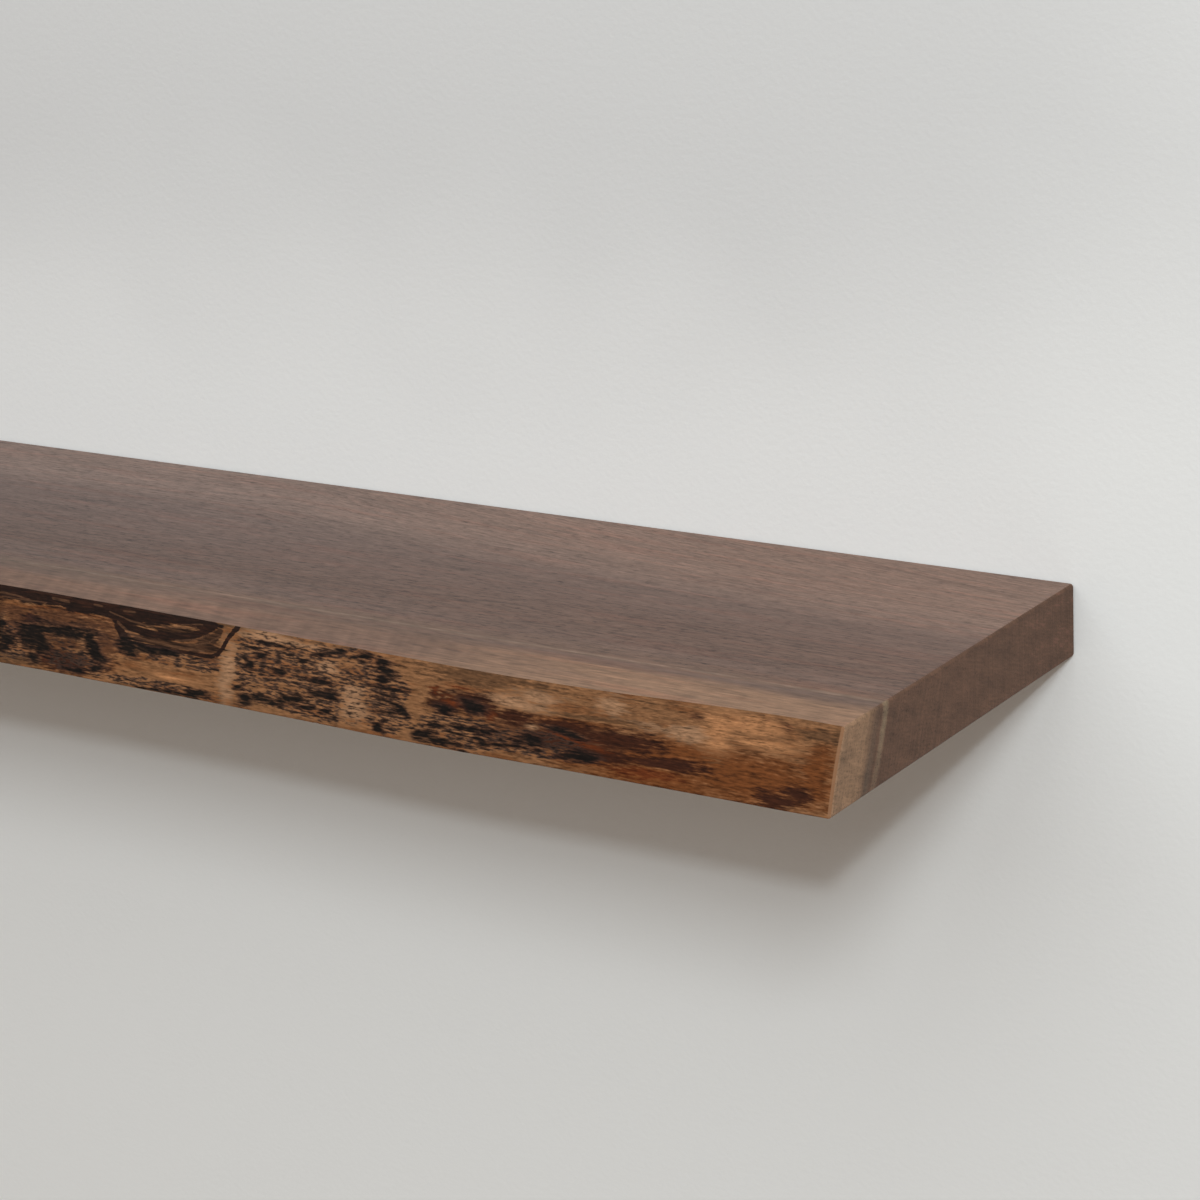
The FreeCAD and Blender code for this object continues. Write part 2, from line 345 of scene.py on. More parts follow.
def walnut_face(wood):
    """Planed and oiled long grain: top, underside, back and the cuts into it."""
    f = Finish("walnut_face")
    ring = growth(f)
    depth = (ring + HEART_DEPTH) / HEART_DEPTH + (streaks(f, ring, 160, 9, 2.0) - 0.5) * 0.03
    heart = f.node("ValToRGB", {"stops": HEART}, {"Fac": depth})
    heart = f.mix(f.ramp(f.x, -100.0, 520.0), heart, f.toned(heart, WARM))
    tanned = f.ramp(f.x + (f.grain((90, 20, 40), offset=7.0) - 0.5) * 80.0, 300.0, 470.0)
    sap = f.mix(tanned, wood.sapwood, wood.sapwood_tan)
    sap_share = f.ramp(ring + (streaks(f, ring, 70, 4, offset=3.0) - 0.5) * 5.0, SAP_LINE - 8, SAP_LINE - 18)
    shade = f.mix(sap_share, heart, sap)

    line = f.math("ABSOLUTE", ring - SAP_LINE + (streaks(f, ring, 120, 30, 1.0, offset=5.0) - 0.5) * 2.5)
    shade = f.mix(f.ramp(line, 1.6, 0.3) * 0.22, shade, PALE_LINE)
    shadow = f.math("ABSOLUTE", ring - SAP_LINE + 5.0)
    shade = f.mix(f.ramp(shadow, 5.0, 0.0) * f.ramp(f.x, 150.0, 450.0) * 0.35, shade, DARK_LINE)

    broad = streaks(f, ring, 260, 16, offset=11.0)
    fine = streaks(f, ring, 60, 3.2, 4.0, 0.6, offset=1.0)
    dash = streaks(f, ring, 13, 2.4, 3.0, 0.6, offset=17.0)
    thread = streaks(f, ring, 16, 0.7, 3.0, 0.6, offset=2.0)
    pores = f.ramp(streaks(f, ring, 6.5, 0.9, 1.0, offset=4.0), 0.66, 0.9)
    pores = pores * f.ramp(ring, SAP_LINE - 6, SAP_LINE + 12)
    curl = f.grain((9, 70, 60), f.at(f.x + f.y * 0.5, f.y, f.z), 2.0, offset=23.0)
    curled = sap_share * (1.0 - tanned * 0.7)
    figure = (1.0 + (broad - 0.5) * 0.22 + (fine - 0.5) * 0.46 + (dash - 0.5) * 0.58 + (thread - 0.5) * 0.26
              + (curl - 0.5) * curled * 0.3 - pores * 0.4)
    shade = f.toned(shade, figure)
    for start_x, start_y, fall, half_width, run, share in RING_LINES:
        along = f.x - start_x
        away = f.math("ABSOLUTE", f.y - start_y + along * fall + (fine - 0.5) * 3.0)
        kept = f.ramp(away, half_width, 0.0) * f.ramp(along, -20.0, 20.0) * f.ramp(along, run, run * 0.6)
        shade = f.mix(kept * share, shade, f.toned(shade, DARK))
    rosy = f.ramp(streaks(f, ring, 130, 8, offset=9.0), 0.5, 0.9)
    shade = f.mix(rosy * 0.6, shade, f.toned(shade, ROSY))

    height = fine * 0.3 + thread * 0.4 - pores * 0.9
    f.surface(shade, 0.62 + (fine - 0.5) * 0.08, height, 0.06, IOR=1.45, Specular_IOR_Level=0.35)
    return f.material


def walnut_end(wood):
    """Sawn and sanded end grain, darker than the long grain, with its rings on edge."""
    f = Finish("walnut_end_grain")
    ring = growth(f) + (f.grain((60, 14, 9), offset=21.0) - 0.5) * 1.4
    across = f.at(0.0, ring, f.z)
    bands = f.grain((1, 12, 160), across, 3.0, 0.6)
    rings = f.grain((1, 2.6, 60), across, 3.0, 0.6, offset=3.0)
    leaning = f.at(0.0, f.y, f.z + f.y * 0.35)
    clouds = f.grain((1, 24, 9), leaning, 4.0, 0.6, offset=31.0)
    pores = f.ramp(f.grain((1, 1.1, 1.3), across, 2.0, offset=6.0), 0.6, 0.9)
    rays = f.grain((1, 7, 1.3), leaning, 3.0, offset=9.0)
    wander = (f.grain((40, 30, 16), offset=13.0) - 0.5) * 3.0
    sap_share = f.ramp(ring + wander * 0.7, SAP_LINE - 3, SAP_LINE - 19)
    shade = f.mix(sap_share, wood.end_heart, wood.end_sap)

    line = f.ramp(f.math("ABSOLUTE", ring + wander * 0.4 - SAP_LINE - 1.5), 4.0, 0.5)
    shade = f.mix(line * (f.ramp(f.z, -20.0, 15.0) * 0.45 + 0.25), shade, END_PALE_LINE)
    shadow = f.ramp(f.math("ABSOLUTE", ring - SAP_LINE + 7.5), 6.5, 0.0)
    shade = f.mix(shadow * (0.9 - f.ramp(f.z, -15.0, 21.0) * 0.55), shade, END_DARK_LINE)
    figure = (1.06 + (bands - 0.5) * 0.14 + (rings - 0.5) * 0.3 + (clouds - 0.5) * 0.5 + (rays - 0.5) * 0.3
              - pores * 0.36)
    shade = f.toned(shade, figure)
    red = f.ramp(rays * 0.5 + clouds * 0.5, 0.62, 0.78) * f.ramp(f.y, -90.0, -20.0)
    shade = f.mix(red * 0.4, shade, END_RED)
    f.surface(shade, 0.66, rings * 0.4 + rays * 0.3 - pores * 0.6, 0.05, IOR=1.42, Specular_IOR_Level=0.35)
    return f.material


# Stains on the live edge, in millimetres. An oval is (x, height, half length, half width) and may have a tilt
# in degrees. A line is (half width, (x, height), (x, height), ...).
STAINS = {
    # the dark band along the upper corner, and the darkest wood of the boat-shaped figure
    "figure": [
        (72, 20.6, 62, 6.8, -1), (150, 19.6, 42, 7.0), (196, 19.5, 19, 3.6), (108, 17.5, 18, 4.4),
        (146, 15.5, 12, 3.6, -12),
        (1.9, (139, 13.5), (147, 11), (156, 10), (168, 9.4), (182, 9.6), (196, 11.4), (205, 14.8),
         (213, 19.8)),
        (2.4, (140.5, 13), (143, 9.5), (146, 6), (150, 3.5)),
        (0.9, (150, 3.4), (165, 3.1), (182, 3.0), (200, 2.9), (214, 3.4), (219, 5.5)),
        (1.5, (218.5, 5), (221.5, 9.5), (223.5, 14), (227, 18), (230, 20.5)),
    ],
    "lens": [
        (190, 13.3, 25, 1.7, 4), (186, 6.3, 35, 2.1, 1), (207, 9.5, 11, 3.2, 38), (215, 14, 6, 2.4, 60),
    ],
    "light_line": [
        (0.5, (134, 17), (142, 15.6), (150, 14.2), (163, 13.4), (182, 14.2), (200, 16.6)),
        (0.7, (141, 12.2), (147, 9.2), (152, 6.8), (165, 6.0), (178, 5.2), (192, 4.8), (208, 5.2)),
        (0.5, (45, 17.6), (60, 17.1), (72, 15.8)), (0.8, (88, 18.5), (103, 18.1)),
        (0.5, (121, 18.9), (128, 18.7)), (0.6, (144, 18.9), (153, 18.7)), (0.4, (184, 16.2), (205, 18.8)),
        (0.5, (186, 8.4), (204, 11.2), (212, 15.5)), (0.4, (50, 15.6), (84, 15.1)),
        (0.5, (196, 7.0), (210, 9.6), (218, 15)),
    ],
    "soot": [
        (152.5, 0.6, 10, 6.4, -12), (147.5, 4.4, 5, 4), (2.2, (160, 1.5), (175, 0.6), (190, 0.4)),
        # the arch and its feet
        (100, 2.0, 31, 5.4, 2), (80, -3.0, 12, 9.8), (88, -8.4, 9.5, 5.0, -6), (79, -14.2, 6.5, 2.8, 8),
        (122, -0.2, 6.4, 5.6), (126, -4.4, 8.5, 4.6, -30), (131, -8.4, 8.5, 3.2, -12),
        (131, -14.4, 9, 2.4, 6), (54, -2.0, 5.5, 7.0), (60, -6.5, 9.0, 4.2), (54, -12, 5, 3.4),
        (109, -5.4, 4.0, 1.8), (114, -16.5, 9, 2.0),
        # along the lower corner
        (207, -17.6, 9, 2.0, 2), (196, -19.4, 24, 1.0), (172, -19.6, 12, 0.8),
        # inside the mottled stretch
        (241, -15.4, 7, 4.0), (253, -13.6, 10, 3.0, 6), (270, -11, 12, 2.8, 8), (236, -9.6, 4.5, 1.4, 25),
        (294, -5.4, 13, 2.0, 6), (292, 1.0, 9, 2.2, -4), (300, -5.4, 4, 1.2), (286, -13.6, 7, 1.6),
        (299, -13.8, 6, 1.5), (243, 3.4, 4.4, 2.8), (262, 1.6, 5, 1.9), (254, 15.2, 11, 1.5, -6),
        (296, 15.6, 13, 1.6, 10), (303, 18.8, 5, 1.0), (277, 10.0, 5, 1.8, 8), (250, 9.0, 6, 1.4),
        (244, 12.0, 4, 1.0), (262, -15.6, 6, 1.6), (322, 18, 8, 2.0), (317, 15.6, 7, 1.2, -8),
        (291, 18.2, 7, 0.8),
        # the upright bar beside the pale strip
        (337, 17.0, 8, 1.6, -4), (337, 12.4, 8.2, 3.2, -6), (332, 8.6, 6, 1.4), (340, 4.8, 13, 1.3),
        (342, 0.4, 9, 0.8), (350, -5.4, 7.5, 3.4, -6), (336, -8.4, 8, 1.2, 6), (332, -16, 6, 2.6, 20),
        (341, -2.2, 9, 0.8),
        # the blots right of the strip
        (376.5, -0.6, 7, 2.6, -8), (395, 2.6, 9.6, 4.0, -4), (366, -15.6, 10, 4.0, 6),
        (432, -9.0, 9, 3.6, -6), (453, -2.0, 13, 1.9, -6), (401, -13.4, 6, 4.0, -30), (378, -18, 12, 1.8),
        (415, -14.0, 12, 1.1, 3), (464, -12.6, 11, 3.6, 5), (392, -7.5, 14, 1.4), (372, -8.8, 8, 1.2, 6),
        (386, -11.8, 8, 1.2), (408, -7.6, 6, 2.0),
    ],
    "mottle": [
        (286, 0, 56, 19), (250, 5, 20, 15), (318, 12, 24, 9), (388, -12, 36, 8.5), (194, -1.5, 26, 4.6),
        (108, -9.5, 22, 8), (436, -10, 30, 6), (340, -4, 14, 16), (188, -19, 30, 2.4), (170, -17, 40, 2.4),
        (60, -8, 16, 10),
    ],
    "bare": [
        (226.5, -5, 4.4, 19), (357.5, 2, 4.6, 24), (103, -5.0, 14, 3.4), (298, 9.6, 8, 2.4),
        (316, -7, 10, 9), (272, -4.8, 9, 1.9), (247, -8.0, 7, 1.9), (436, -3.0, 5, 2.0),
        (380, 9.5, 6.5, 3.6), (55, -2.6, 3.2, 1.8), (312, 12.4, 7, 2.4), (262, 18.4, 30, 1.8),
        (440, -18.8, 40, 2.2), (300, -19.3, 50, 1.5), (182, -9, 26, 5.5), (140, -14, 6, 4),
    ],
    "rot": [
        (371, 5.5, 5.0, 4.5), (378, 2, 13, 5.4), (396, 4, 14, 7.4), (424, 1.5, 15, 4.0),
        (455, 1.5, 17, 3.8), (455, -5, 18, 3.2), (447, -7.5, 16, 4.6), (488, -1.6, 26, 4.5),
        (472, -9.4, 26, 5.6), (515, -8.4, 29, 3.2), (577, -17.2, 12.5, 4.9), (590, -12.6, 7.5, 4.0),
        (107, -14, 25, 5.4), (76, 6, 6, 3), (393, 7.6, 8, 1.6),
    ],
    "rust": [
        (383, 3.0, 7, 2.4), (371, 7.5, 4, 1.8), (455, -5.2, 14, 1.6), (89.5, -13.4, 4, 1.2),
        (405, 0, 4, 2.6), (470, -6.5, 10, 1.6), (384, 12.5, 7, 1.0), (500, -15.5, 16, 2.6),
    ],
    "amber": [
        (560, -9, 62, 11.5), (507, -16, 40, 7), (470, -14, 26, 3.8), (505, -6, 44, 8), (600, -4, 8, 16),
        (455, 3, 26, 4), (526, -2.5, 27, 5.4), (95, 12.6, 40, 1.4),
    ],
    "brown": [
        (104, 8.5, 42, 4.6), (62, 8.6, 12, 3.4), (44, 6, 12, 9), (134, 0, 10, 14), (146, 2, 8, 6),
        (70, 2, 16, 9), (206, 9, 12, 4), (214, 3, 10, 3), (108, -12, 24, 6), (104, -5, 14, 3.4),
        (434, -6, 38, 9), (470, -3, 24, 6), (529, 15.8, 5, 2.0), (563, 17.0, 5, 2.2), (574, 17, 4, 1.8),
    ],
    "olive": [
        (401, 18.9, 42, 4.6), (595, 15.6, 14, 3.6), (60, -17, 24, 4), (230, 20.4, 80, 1.0),
        (501, 7.5, 18, 1.6), (470, 8, 30, 1.3),
    ],
    "pale": [
        (226.5, -5, 5.6, 18), (262, 18.2, 34, 2.2), (522, 7, 24, 3.2), (480, 15, 9, 4), (316, -6, 10, 9),
        (298, 9.6, 8, 2.4), (414, 8.6, 25, 2.4), (436, 13, 16, 3), (435, -2.4, 4.6, 1.9),
    ],
    "honey": [
        (541, 10.5, 9, 9), (570, 7.0, 17, 2.6), (558, 15, 14, 3.4), (189, -11, 17, 1.8),
    ],
    "streaky": [
        (505, 12, 62, 10), (100, -8, 18, 8), (594, 2, 14, 18), (560, 12, 40, 9), (70, 9, 30, 5),
    ],
}
SHARP_STAINS = ("figure", "lens", "light_line")
# Stains that lie on one another like paint, in this order: name, share, how ragged the outline is.
LAYERS = (("amber", 1.0, 0.8), ("brown", 1.0, 0.8), ("olive", 0.95, 1.0), ("pale", 1.0, 1.2),
          ("honey", 1.0, 1.2), ("rot", 1.0, 0.85), ("rust", 0.9, 2.0))
END_RIM = 607.6             # where the live edge turns into the sanded corner of the sawn end
REPEAT = 604.0              # this far to the left the same marks come again, upside down
FAR = 9.0                   # the nearness of a point that no mark is near
# Noise of this size (along, up) pushes the outlines about this far (along, up), in millimetres. Last come the
# places in the noise where the pushes along and up are read.
DRIFT = ((30, 8), (7, 2.2), ((3.4, 18.6, 0), (36.7, 15.7, 0)))
RAGGED = ((20, 7), (2.4, 0.9), ((31.3, 7.2, 5), (3.4, 19.3, 5)))
LENS_DARK, LENS_TAN = (0.013, 0.006, 0.0036), (0.068, 0.031, 0.0155)
REDDISH_HEART, LIGHT_LINE, RIM = (0.0235, 0.009, 0.0052), (0.11, 0.053, 0.028), (0.232, 0.12, 0.062)


def pushed(x, height, size, reach, places):
    """Points in millimetres pushed about by noise."""
    spots = [Vector((a / size[0], b / size[1], 0)) for a, b in zip(x, height)]
    along, up = (np.array([noise.noise(spot + Vector(place)) for spot in spots]) for place in places)
    return x + along * reach[0], height + up * reach[1]


def nearness(x, height, marks):
    """For each point, how near the nearest mark is: 0 at its middle, 1 on its outline, and more outside."""
    nearest = np.full(len(x), FAR)
    for first, *rest in marks:
        if isinstance(rest[0], tuple):
            for (x1, z1), (x2, z2) in zip(rest, rest[1:]):
                run = (x2 - x1) ** 2 + (z2 - z1) ** 2
                share = np.clip(((x - x1) * (x2 - x1) + (height - z1) * (z2 - z1)) / run, 0, 1)
                away = np.hypot(x - x1 - share * (x2 - x1), height - z1 - share * (z2 - z1))
                nearest = np.minimum(nearest, away / first)
        else:
            middle_height, half_length, half_width, *tilt = rest
            turn = math.radians(tilt[0]) if tilt else 0.0
            right, up = x - first, height - middle_height
            along = (right * math.cos(turn) + up * math.sin(turn)) / half_length
            across = (up * math.cos(turn) - right * math.sin(turn)) / half_width
            nearest = np.minimum(nearest, np.hypot(along, across))
    return nearest


def lay_out_stains(slab):
    """Writes on each vertex how near each kind of stain is, for the live edge's material to read."""
    places = np.empty(len(slab.data.vertices) * 3)
    slab.data.vertices.foreach_get("co", places)
    x, height = places[0::3] / MM, places[2::3] / MM
    pushes = {True: pushed(x, height, *RAGGED), False: pushed(x, height, *DRIFT)}
    for name, marks in STAINS.items():
        x, height = pushes[name in SHARP_STAINS]
        near = np.minimum(nearness(x, height, marks), nearness(x + REPEAT, -height, marks))
        layer = slab.data.attributes.new(name, "FLOAT", "POINT")
        layer.data.foreach_set("value", near)


def live_edge(wood):
    """The natural edge: tan wood in fine fibres under brown figure, black stains and grey mottling."""
    f = Finish("walnut_live_edge")
    flat = f.at(f.x, f.z, 0.0)
    fibre = f.grain((26, 1.2, 1), flat, 3.0, 0.6)
    fleck = f.grain((11, 1.4, 1), flat, 3.0, 0.6, offset=4.0)
    speck = f.grain((4.8, 1.1, 1), flat, 2.0, 0.5, offset=14.0)
    blotch = f.grain((26, 2.6, 1), flat, 3.0, 0.6, offset=19.0)
    cloud = f.grain((34, 8, 1), flat, 3.0, 0.55, offset=6.0)
    sweep = f.grain((90, 2.6, 1), flat, 2.0, 0.5, offset=9.0)
    post = f.grain((7, 90, 1), flat, 2.0, 0.5, offset=11.0)
    rough = (blotch * 0.3 + fleck * 0.45 + speck * 0.25 - 0.5) * 2.0

    shade = f.mix(f.ramp(cloud * 0.6 + sweep * 0.4, 0.4, 0.8) * 0.6, wood.tan, wood.amber)
    for name, share, ragged in LAYERS:
        kept = f.ramp(f.stain(name) + rough * ragged, 1.5, 0.5)
        shade = f.mix(kept * share, shade, getattr(wood, name))

    figure = f.ramp(f.stain("figure") + (fleck - 0.5) * 0.5, 1.15, 0.9)
    lens = f.ramp(f.stain("lens") + (fibre - 0.5) * 0.8, 1.15, 0.8)
    light_line = f.ramp(f.stain("light_line") + (fleck - 0.5) * 1.2, 1.3, 0.5)
    shade = f.mix(lens, shade, f.mix(fibre, LENS_DARK, LENS_TAN))
    reddish = f.ramp(fleck * 0.5 + sweep * 0.5, 0.45, 0.8)
    shade = f.mix(figure, shade, f.mix(reddish, wood.heart_dark, REDDISH_HEART))
    shade = f.mix(light_line * 0.62, shade, LIGHT_LINE)

    bare = f.ramp(f.stain("bare") + rough * 0.5, 1.3, 0.7) * 0.5
    dashes = (fleck * 0.45 + speck * 0.55 - 0.5) * 2.0
    blots = (1.05 - f.stain("soot")) * 1.3 - rough * 0.9 - bare
    mottled = f.math("MINIMUM", (1.0 - f.stain("mottle")) * 4.0, 0.24) - dashes * 1.5 - bare
    fringe = f.ramp(blots, -0.45, 0.25)
    grime = f.math("MAXIMUM", f.ramp(mottled, -0.28, 0.38), fringe * 0.8)
    black = f.math("MAXIMUM", f.ramp(blots, 0.0, 0.8), f.ramp(mottled, 0.25, 0.95) * 0.7)
    shade = f.mix(grime * 0.85, shade, f.mix(fringe, wood.mould, wood.stained))
    shade = f.mix(black * (0.98 - f.ramp(dashes, 0.0, 0.6) * 0.13), shade, wood.soot)

    streaked = f.ramp(f.stain("streaky") + (blotch - 0.5) * 0.8, 1.3, 0.7)
    threads = f.ramp(fibre * 0.55 + fleck * 0.45, 0.56, 0.68)
    lines = (1.0 + (fibre - 0.5) * (0.55 + streaked * 0.4) + (fleck - 0.5) * 0.8 + (speck - 0.5) * 0.6
             + (post - 0.5) * 0.12 - threads * (streaked * 0.55 + 0.14))
    shade = f.toned(shade, lines)
    rim = f.ramp(f.math("ABSOLUTE", f.x), END_RIM, END_RIM + 0.5)
    shade = f.mix(rim * 0.85, shade, RIM)
    relief = fibre * 0.5 + fleck * 0.6 + speck * 0.2 + cloud * 0.6 - grime * 0.4
    f.surface(shade, 0.6 + black * 0.15, relief, 0.12, IOR=1.45, Specular_IOR_Level=0.08)
    return f.material


# ---------------------------------------------------------------- metals

def metal(name, shade, roughness, size, depth, mottle=0.25, offset=0.0):
    """A metal with a fine texture of this size, in millimetres, in its colour, gloss and relief."""
    f = Finish(name)
    fine = f.grain(size, detail=4.0, rough=0.6, offset=offset)
    cloud = f.grain((14, 14, 14), detail=3.0, offset=offset + 3.0)
    tone = 1.0 + (fine - 0.5) * mottle / 2 + (cloud - 0.5) * mottle / 2
    roughness = roughness + (cloud + fine - 1.0) * mottle * 0.3
    f.surface(f.toned(tuple(shade), tone), roughness, fine, depth, Metallic=1.0)
    return f.material


def mill_scale(metals):
    """Hot-rolled bar: blue-grey scale, duller in clouds, with rubbed spots and a little rust in its pits."""
    f = Finish("mill_scale_steel")
    cloud = f.grain((40, 22, 22), detail=4.0, rough=0.6)
    drawn = f.grain((90, 3, 3), detail=3.0, offset=4.0)
    pits = f.ramp(f.grain((1.2, 1.2, 1.2), detail=2.0, offset=7.0), 0.75, 0.95)
    worn = f.ramp(f.grain((9, 6, 6), detail=4.0, rough=0.65, offset=2.0), 0.7, 0.95)
    dull, rubbed, rusty = (0.14, 0.14, 0.15), (0.26, 0.26, 0.26), (0.12, 0.055, 0.03)
    shade = f.mix(f.ramp(cloud, 0.2, 0.8), metals.mill_scale, dull)
    shade = f.mix(worn * 0.5, shade, rubbed)
    shade = f.mix(pits * 0.4, shade, rusty)
    f.surface(shade, 0.42 + (cloud - 0.5) * 0.14 + pits * 0.2, cloud * 0.5 + drawn * 0.5 - pits, 0.05,
              Metallic=0.85)
    return f.material


# ---------------------------------------------------------------- modelling helpers

NEAR = 0.001 * MM           # how near a vertex has to be to a height to count as on it
TIP = 0.01 * MM             # the radius of a point
CLEAR = 1 * MM              # how far a cutting tool stands out of what it cuts
INTO_ROOM = (math.radians(90), 0, 0)       # turns +Z, along which pieces are turned, to face the room
INTO_WALL = (math.radians(-90), 0, 0)
FLANK = 1.6                 # how steep a thread's flanks are; above 1 its root is flat


def only(piece):
    """Makes a piece the active one, and the only one selected."""
    bpy.ops.object.select_all(action="DESELECT")
    piece.select_set(True)
    bpy.context.view_layer.objects.active = piece


def start(name, add, **settings):
    """Adds a primitive with nothing else selected, and names it."""
    bpy.ops.object.select_all(action="DESELECT")
    add(**settings)
    piece = bpy.context.object
    piece.name = piece.data.name = name
    return piece


def edit(mode):
    """Goes to edit mode or back to object mode."""
    bpy.ops.object.mode_set(mode=mode)


def pick(piece, kind, test):
    """In edit mode, selects the verts, edges or faces that pass the test, and nothing else."""
    bpy.ops.mesh.select_mode(type={"verts": "VERT", "edges": "EDGE", "faces": "FACE"}[kind])
    bpy.ops.mesh.select_all(action="DESELECT")
    mesh = bmesh.from_edit_mesh(piece.data)
    for element in getattr(mesh, kind):
        if test(element):
            element.select_set(True)
    mesh.select_flush_mode()
    bmesh.update_edit_mesh(piece.data)


def spans(edge, axis, least, most=math.inf):
    """Whether an edge runs at least this far along an axis, and no further than the other length."""
    first, last = edge.verts
    return least < abs(first.co[axis] - last.co[axis]) < most


def block(name, low, high):
    """A block between two corners, its place in its mesh."""
    piece = start(name, bpy.ops.mesh.primitive_cube_add, size=1)
    piece.location = [(a + b) / 2 for a, b in zip(low, high)]
    piece.scale = [b - a for a, b in zip(low, high)]
    bpy.ops.object.transform_apply(location=True, rotation=True, scale=True)
    return piece


def turned(name, profile, sides):
    """A turned piece along +Z from a list of (distance, radius), extruded ring by ring from a disc."""
    first, radius = profile[0]
    piece = start(name, bpy.ops.mesh.primitive_circle_add, vertices=sides, radius=radius, fill_type="NGON",
                  location=(0, 0, first))
    bpy.ops.object.transform_apply(location=True, rotation=True, scale=True)
    edit("EDIT")
    bpy.ops.mesh.select_all(action="SELECT")
    before = first
    for along, wide in profile[1:]:
        wide = max(wide, TIP)
        bpy.ops.mesh.extrude_region_move(TRANSFORM_OT_translate={"value": (0, 0, along - before)})
        bpy.ops.transform.resize(value=(wide / radius, wide / radius, 1), center_override=(0, 0, along))
        before, radius = along, wide
    bpy.ops.mesh.select_all(action="SELECT")
    bpy.ops.mesh.normals_make_consistent(inside=False)
    edit("OBJECT")
    return piece


def slice_up(piece, low, high, cuts):
    """Cuts a turned stretch between two distances along Z into slices, and those into slices again."""
    edit("EDIT")
    for number in cuts:
        pick(piece, "edges", lambda e: spans(e, 2, NEAR)
             and all(low - NEAR < v.co.z < high + NEAR for v in e.verts))
        bpy.ops.mesh.subdivide(number_cuts=number)
    edit("OBJECT")


def cut_thread(piece, low, high, crest, depth, pitch, runout):
    """Presses a helical thread into a turned stretch along Z, by moving its vertices in, and fades it out at
    both ends."""
    for vertex in piece.data.vertices:
        x, y, z = vertex.co
        if low < z < high:
            phase = (z / pitch - math.atan2(y, x) / math.tau) % 1.0
            wave = min(1.0, FLANK * (1 - abs(2 * phase - 1)))
            fade = min(1.0, (z - low) / runout, (high - z) / runout)
            share = 1 - depth / crest * wave * fade
            vertex.co = (x * share, y * share, z)
    piece.data.update()


def apply(piece, kind, **settings):
    """Adds a modifier and applies it."""
    only(piece)
    modifier = piece.modifiers.new(kind.title(), kind)
    for name, value in settings.items():
        setattr(modifier, name, value)
    bpy.ops.object.modifier_apply(modifier=modifier.name)


def combine(piece, tools, operation):
    """Cuts the tools out of a piece, or adds them to it, and removes them."""
    for tool in tools:
        apply(piece, "BOOLEAN", operation=operation, solver="EXACT", object=tool)
        bpy.data.objects.remove(tool)


def place(piece, location, rotation=(0, 0, 0)):
    """Turns and moves a piece, keeping its object at the origin."""
    only(piece)
    piece.location, piece.rotation_euler = location, rotation
    bpy.ops.object.transform_apply(location=True, rotation=True, scale=True)


def smooth(piece, angle=35):
    """Smooth shading except across sharp corners."""
    only(piece)
    bpy.ops.object.shade_smooth_by_angle(angle=math.radians(angle))


def dress(piece, materials, body, slot, *nodes):
    """Gives a finished piece its materials and says what it rides on and stands for. Its slot is not used."""
    piece.data.materials.clear()
    for material in materials:
        piece.data.materials.append(material)
    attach(piece, body)
    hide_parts(*nodes)


def copied(piece, name, shift):
    """A copy of a piece with its own mesh, moved."""
    twin = piece.copy()
    twin.data = piece.data.copy()
    twin.name = twin.data.name = name
    twin.data.transform(Matrix.Translation(shift))
    bpy.context.scene.collection.objects.link(twin)
    return twin


def nodes_like(stem):
    """The CAD nodes of this name, numbered from 1."""
    return [name for name in sorted(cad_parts) if name.startswith(stem)]


def middle(node):
    """The middle of a CAD node's box."""
    low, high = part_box(node)
    return (low + high) / 2


def round_nodes(stem):
    """The CAD nodes of this name, and the first one's box corners and radius."""
    names = nodes_like(stem)
    low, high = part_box(names[0])
    return names, low, high, (high.x - low.x) / 2


def repeat(first, nodes, stem, finish, slot, body="bracket"):
    """Copies a piece modelled at the first node to all of them, and dresses each. A body's name that ends in
    an underscore gets the piece's number."""
    for i, node in enumerate(nodes):
        piece = copied(first, f"{stem}{i + 1}", middle(node) - middle(nodes[0])) if i else first
        dress(piece, [finish], f"{body}{i + 1}" if body.endswith("_") else body, slot, node)


# ---------------------------------------------------------------- the slab

CAD_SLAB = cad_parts["live_edge_slab"].data
END_INSET = 4 * MM          # the live edge's shape is read between these distances from the slab's ends
CORNER_INSET = 0.3 * MM     # and from its long corners
STATIONS, HEIGHTS = 405, 9  # at this many places along it and up it
SMOOTHING = 11              # each station's curve is smoothed over this many
# Sizes (along, up) of the live edge's hollows, flutes and fibres, each with the place of its noise.
SWELL = (55 * MM, 34 * MM, 0.3)
FLUTE = (8.5 * MM, 70 * MM, 4.1)
FIBRE = (20 * MM, 1.6 * MM, 8.7)
# A small nick in the lower corner.
NICK_X, NICK_REACH, NICK_DEPTH = 291.3 * MM, 1.6 * MM, 0.9 * MM
FRONT_ZONE = -240 * MM      # faces nearer the room than this belong to the live edge or its corners
STEEP = 0.72                # how squarely a face there looks another way before it is left out of the edge
BORE_LENGTH = 183 * MM      # of the tool that cuts a bore, from the bore's end back into the pocket


